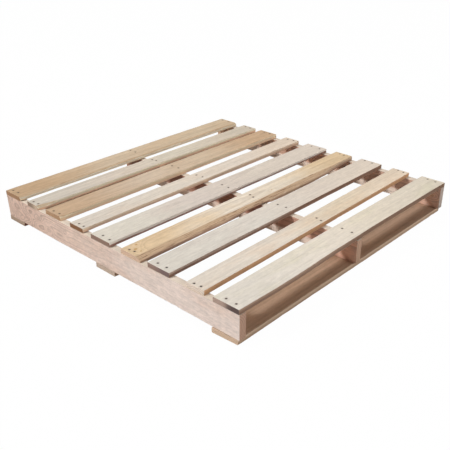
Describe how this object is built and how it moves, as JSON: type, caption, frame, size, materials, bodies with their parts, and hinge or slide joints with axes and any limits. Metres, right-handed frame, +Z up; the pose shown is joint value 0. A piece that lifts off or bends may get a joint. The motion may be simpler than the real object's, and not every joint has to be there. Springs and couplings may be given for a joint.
{
  "type": "wooden pallet",
  "caption": "Square nailed timber shipping pallet with full-length stringers on edge, spaced top deck boards and bottom boards, open to fork tines from both ends.",
  "frame": {"origin": "centre of the footprint, at floor level, on the undersides of the bottom boards", "axes": "+X along the deck boards to the right, +Y along the stringers from the front entry to the rear entry, +Z up"},
  "size_m": [1.2242, 1.2192, 0.1238],
  "materials": {
    "stringer_timber": "rough sawn, pinkish beige hardwood",
    "pale_deck_timber": "rough sawn, pale grey white",
    "tan_deck_timber": "rough sawn, cream to tan",
    "bottom_timber": "rough sawn, tan brown",
    "nail_steel": "dark oiled steel"
  },
  "bodies": {
    "root": {"stringer_left": "stringer_timber", "stringer_centre": "stringer_timber", "stringer_right": "stringer_timber", "top_lead_board_front": "pale_deck_timber", "top_board_2": "tan_deck_timber", "top_board_3": "pale_deck_timber", "top_board_4": "tan_deck_timber", "top_board_5": "pale_deck_timber", "top_board_6": "tan_deck_timber", "top_board_7": "tan_deck_timber", "top_board_8": "pale_deck_timber", "top_lead_board_rear": "tan_deck_timber", "nails_top_lead_front": "nail_steel", "nails_top_2": "nail_steel", "nails_top_3": "nail_steel", "nails_top_4": "nail_steel", "nails_top_5": "nail_steel", "nails_top_6": "nail_steel", "nails_top_7": "nail_steel", "nails_top_8": "nail_steel", "nails_top_lead_rear": "nail_steel", "bottom_lead_board_front": "bottom_timber", "bottom_board_centre": "bottom_timber", "bottom_lead_board_rear": "bottom_timber", "nails_bottom_lead_front": "nail_steel", "nails_bottom_centre": "nail_steel", "nails_bottom_lead_rear": "nail_steel"}
  },
  "joints": []
}
